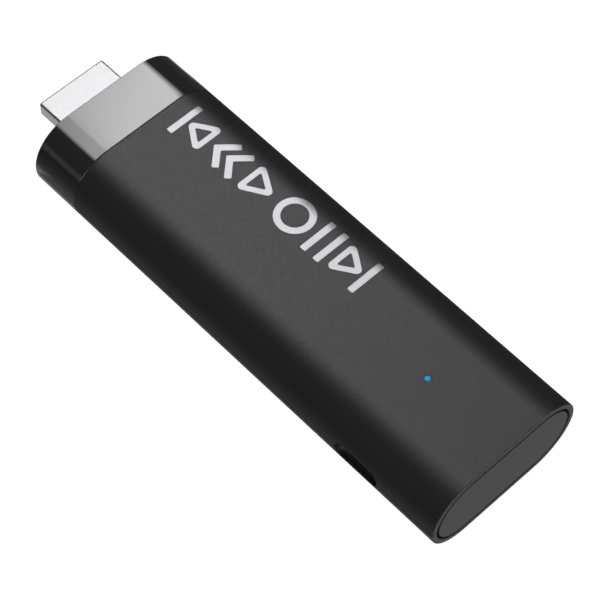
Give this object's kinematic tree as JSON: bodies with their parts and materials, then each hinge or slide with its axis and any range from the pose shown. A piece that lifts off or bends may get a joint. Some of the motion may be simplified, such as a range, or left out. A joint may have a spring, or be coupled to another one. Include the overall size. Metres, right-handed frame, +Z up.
{
  "type": "streaming media player",
  "caption": "Slim stadium-section streaming stick with an HDMI plug at one end, a USB-C port in its side, a gloss collar, a flush end cap and a status light.",
  "frame": {"origin": "on the surface under the stick, below the middle of its bounding box", "axes": "+X along the stick from the HDMI plug to the end cap, +Y away from the side with the USB-C port, +Z up through the face with the status light"},
  "size_m": [0.1022, 0.031, 0.0155],
  "materials": {
    "housing_matte": "satin, fine spark texture",
    "collar_gloss": "polished",
    "cap_matte": "satin, fine spark texture",
    "plug_steel": "bright nickel plate",
    "port_steel": "dark nickel plate",
    "contact_gold": "gold plate",
    "insulator_black": "moulded",
    "light_lens": "clear, lit blue",
    "print_silver": "satin silver print",
    "label_film": "matt film",
    "board_mask": "solder mask",
    "chip_epoxy": "moulded",
    "shield_steel": "tin plate",
    "pad_silicone": "soft",
    "spreader_aluminium": "as extruded",
    "antenna_bronze": "tinned",
    "ceramic_parts": "matt",
    "ferrite_parts": "matt",
    "crystal_steel": "satin",
    "led_white": "moulded",
    "switch_black": "moulded",
    "plunger_white": "moulded"
  },
  "bodies": {
    "housing": {"top_shell": "housing_matte", "bottom_shell": "housing_matte", "front_collar": "collar_gloss", "end_cap": "cap_matte", "rating_label": "label_film", "light_pipe": "light_lens", "hdmi_shell": "plug_steel", "hdmi_insulator": "insulator_black", "hdmi_contacts": "contact_gold", "usb_c_shell": "port_steel", "usb_c_tongue": "insulator_black", "usb_c_contacts": "contact_gold", "main_board": "board_mask", "processor": "chip_epoxy", "memory_chips": "chip_epoxy", "flash_chip": "chip_epoxy", "power_chip": "chip_epoxy", "wifi_module": "shield_steel", "crystals": "crystal_steel", "inductors": "ferrite_parts", "capacitors": "ceramic_parts", "status_led": "led_white", "shield_can": "shield_steel", "processor_pad": "pad_silicone", "spreader_pad": "pad_silicone", "heat_spreader": "spreader_aluminium", "antenna_left": "antenna_bronze", "antenna_right": "antenna_bronze", "reset_switch": "switch_black"},
    "reset_button": {"reset_plunger": "plunger_white"}
  },
  "joints": [
    {"name": "reset_press", "type": "slide", "parent": "housing", "child": "reset_button", "axis": [0, -1, 0], "range_m": [0, 0.00025], "stiffness_N_per_m": 6000}
  ]
}
